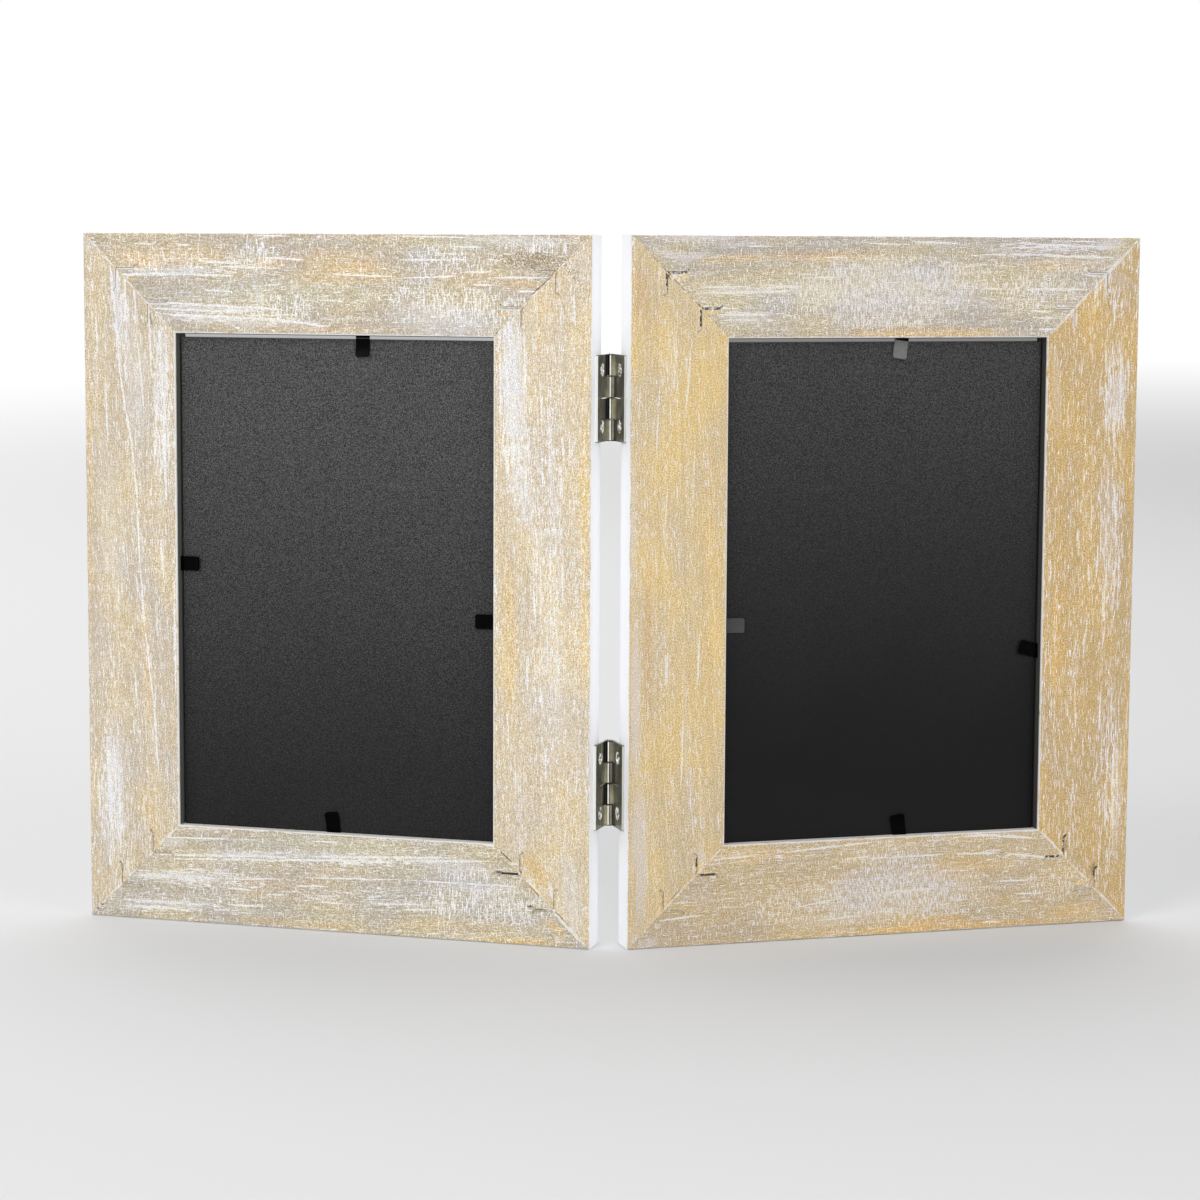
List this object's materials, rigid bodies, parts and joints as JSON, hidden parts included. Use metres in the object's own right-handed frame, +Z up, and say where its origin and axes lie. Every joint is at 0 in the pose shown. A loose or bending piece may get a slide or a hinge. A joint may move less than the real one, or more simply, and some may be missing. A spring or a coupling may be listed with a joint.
{
  "type": "hinged double photo frame",
  "caption": "Double photo frame: two mitred wooden frames with glass, backing board and steel tabs, joined by butt hinges so that the pair folds shut face to face.",
  "frame": {"origin": "middle of the footprint of the pair at its stored opening, on the surface that it stands on", "axes": "+Z up along the hinge pins, +X towards the right-hand frame as seen from the backs, -Y out of the backs, +Y on the picture side"},
  "size_m": [0.326, 0.0586, 0.214],
  "materials": {
    "limed_wood": "bare pale wood with a worn white lime wash on the backs, white painted sides and fronts",
    "nail_steel": "dull dark steel",
    "clear_glass": "clear float glass",
    "paper": "blank matt paper",
    "black_board": "matt black fine-grained board",
    "black_steel": "black coated spring steel, satin",
    "nickel_plate": "nickel plate"
  },
  "bodies": {
    "left_frame": {"left_top_rail": "limed_wood", "left_bottom_rail": "limed_wood", "left_hinge_stile": "limed_wood", "left_outer_stile": "limed_wood", "left_corner_nails": "nail_steel", "left_glass": "clear_glass", "left_photo_insert": "paper", "left_backing_board": "black_board", "left_tab_roots": "black_steel", "upper_hinge_left_leaf": "nickel_plate", "upper_hinge_left_screws": "nickel_plate", "lower_hinge_left_leaf": "nickel_plate", "lower_hinge_left_screws": "nickel_plate", "upper_hinge_pin": "nickel_plate", "lower_hinge_pin": "nickel_plate"},
    "right_frame": {"right_top_rail": "limed_wood", "right_bottom_rail": "limed_wood", "right_hinge_stile": "limed_wood", "right_outer_stile": "limed_wood", "right_corner_nails": "nail_steel", "right_glass": "clear_glass", "right_photo_insert": "paper", "right_backing_board": "black_board", "right_tab_roots": "black_steel", "upper_hinge_right_leaf": "nickel_plate", "upper_hinge_right_screws": "nickel_plate", "lower_hinge_right_leaf": "nickel_plate", "lower_hinge_right_screws": "nickel_plate"},
    "left_tab_top": {"left_tab_top": "black_steel"},
    "left_tab_bottom": {"left_tab_bottom": "black_steel"},
    "left_tab_hinge_side": {"left_tab_hinge_side": "black_steel"},
    "left_tab_outer": {"left_tab_outer": "black_steel"},
    "right_tab_top": {"right_tab_top": "black_steel"},
    "right_tab_bottom": {"right_tab_bottom": "black_steel"},
    "right_tab_hinge_side": {"right_tab_hinge_side": "black_steel"},
    "right_tab_outer": {"right_tab_outer": "black_steel"}
  },
  "joints": [
    {"name": "fold", "type": "hinge", "parent": "left_frame", "child": "right_frame", "pos_m": [0, -0.01501, 0.107], "axis": [0, 0, 1], "range_deg": [-38, 147]},
    {"name": "left_tab_top_bend", "type": "hinge", "parent": "left_frame", "child": "left_tab_top", "pos_m": [-0.07508, -0.00601, 0.1824], "axis": [-0.9588, 0.284, 0], "range_deg": [0, 85]},
    {"name": "left_tab_bottom_bend", "type": "hinge", "parent": "left_frame", "child": "left_tab_bottom", "pos_m": [-0.08486, -0.00311, 0.03159], "axis": [0.9536, -0.2825, 0.1045], "range_deg": [0, 85]},
    {"name": "left_tab_hinge_side_bend", "type": "hinge", "parent": "left_frame", "child": "left_tab_hinge_side", "pos_m": [-0.03534, -0.01778, 0.09782], "axis": [0, 0, 1], "range_deg": [0, 85]},
    {"name": "left_tab_outer_bend", "type": "hinge", "parent": "left_frame", "child": "left_tab_outer", "pos_m": [-0.13199, 0.01085, 0.11235], "axis": [0, 0, -1], "range_deg": [0, 85]},
    {"name": "right_tab_top_bend", "type": "hinge", "parent": "right_frame", "child": "right_tab_top", "pos_m": [0.08807, -0.00217, 0.18241], "axis": [-0.9495, -0.2813, 0.1392], "range_deg": [0, 85]},
    {"name": "right_tab_bottom_bend", "type": "hinge", "parent": "right_frame", "child": "right_tab_bottom", "pos_m": [0.08965, -0.0017, 0.03159], "axis": [0.9495, 0.2813, 0.1392], "range_deg": [0, 85]},
    {"name": "right_tab_hinge_side_bend", "type": "hinge", "parent": "right_frame", "child": "right_tab_hinge_side", "pos_m": [0.03534, -0.01778, 0.09706], "axis": [0, 0, -1], "range_deg": [0, 85]},
    {"name": "right_tab_outer_bend", "type": "hinge", "parent": "right_frame", "child": "right_tab_outer", "pos_m": [0.13202, 0.01086, 0.08661], "axis": [0.232, 0.0687, 0.9703], "range_deg": [0, 85]}
  ]
}
